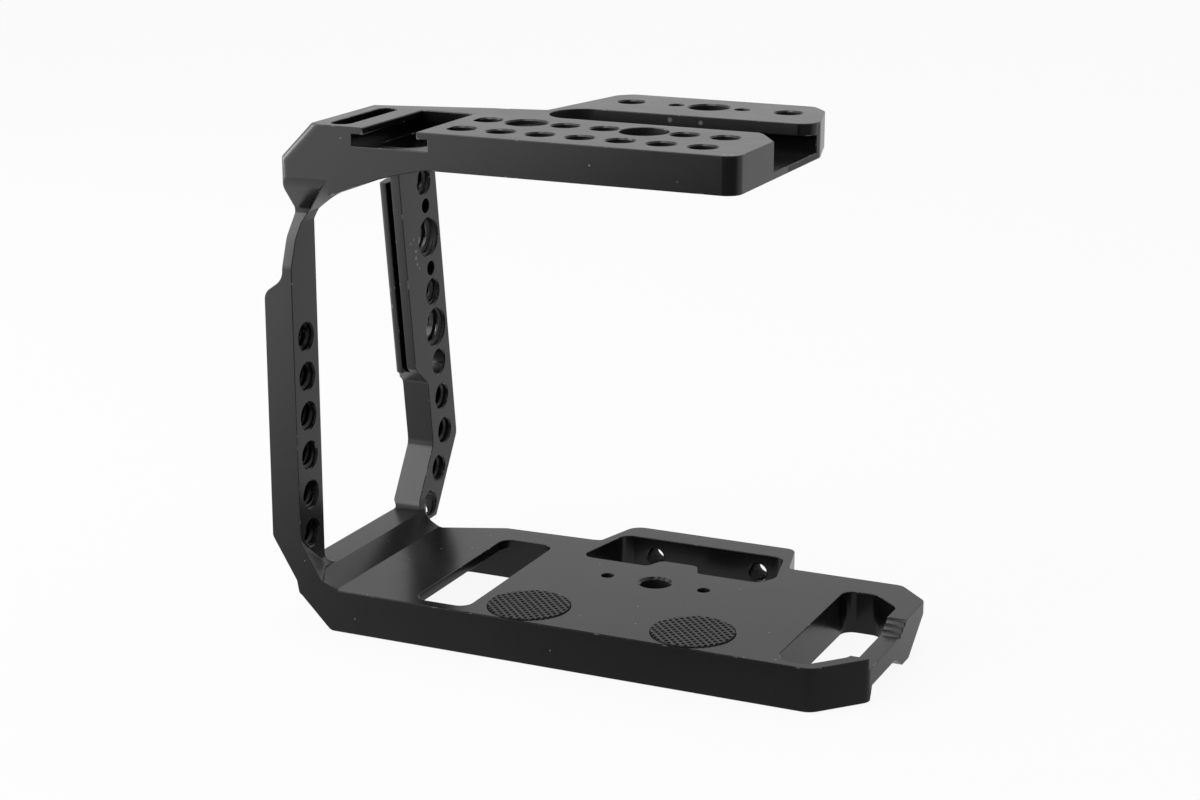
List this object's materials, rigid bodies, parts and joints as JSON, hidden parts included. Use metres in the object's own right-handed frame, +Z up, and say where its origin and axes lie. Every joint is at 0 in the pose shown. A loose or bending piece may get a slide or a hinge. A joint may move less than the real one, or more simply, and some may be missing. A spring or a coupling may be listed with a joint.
{
  "type": "camera cage",
  "caption": "Open C-shaped half cage that bolts round a mirrorless camera, with threaded accessory holes, a cold shoe, a side rail and rubber base pads.",
  "frame": {"origin": "axis of the camera screw hole, on the underside of the base", "axes": "+X towards the camera's grip side, +Y towards the lens, +Z up"},
  "size_m": [0.1434, 0.0783, 0.1195],
  "materials": {
    "anodised_aluminium": "fine blasted black anodised, satin, with thin bright broken edges",
    "rubber_pads": "matte black rubber with a moulded crosshatch"
  },
  "bodies": {
    "root": {"base_plate": "anodised_aluminium", "front_yoke": "anodised_aluminium", "end_frame": "anodised_aluminium", "side_foot": "anodised_aluminium", "rear_column": "anodised_aluminium", "front_column": "anodised_aluminium", "accessory_rail": "anodised_aluminium", "shoulder_block": "anodised_aluminium", "rear_bridge": "anodised_aluminium", "front_bridge": "anodised_aluminium", "pad_left": "rubber_pads", "pad_right": "rubber_pads"}
  },
  "joints": []
}
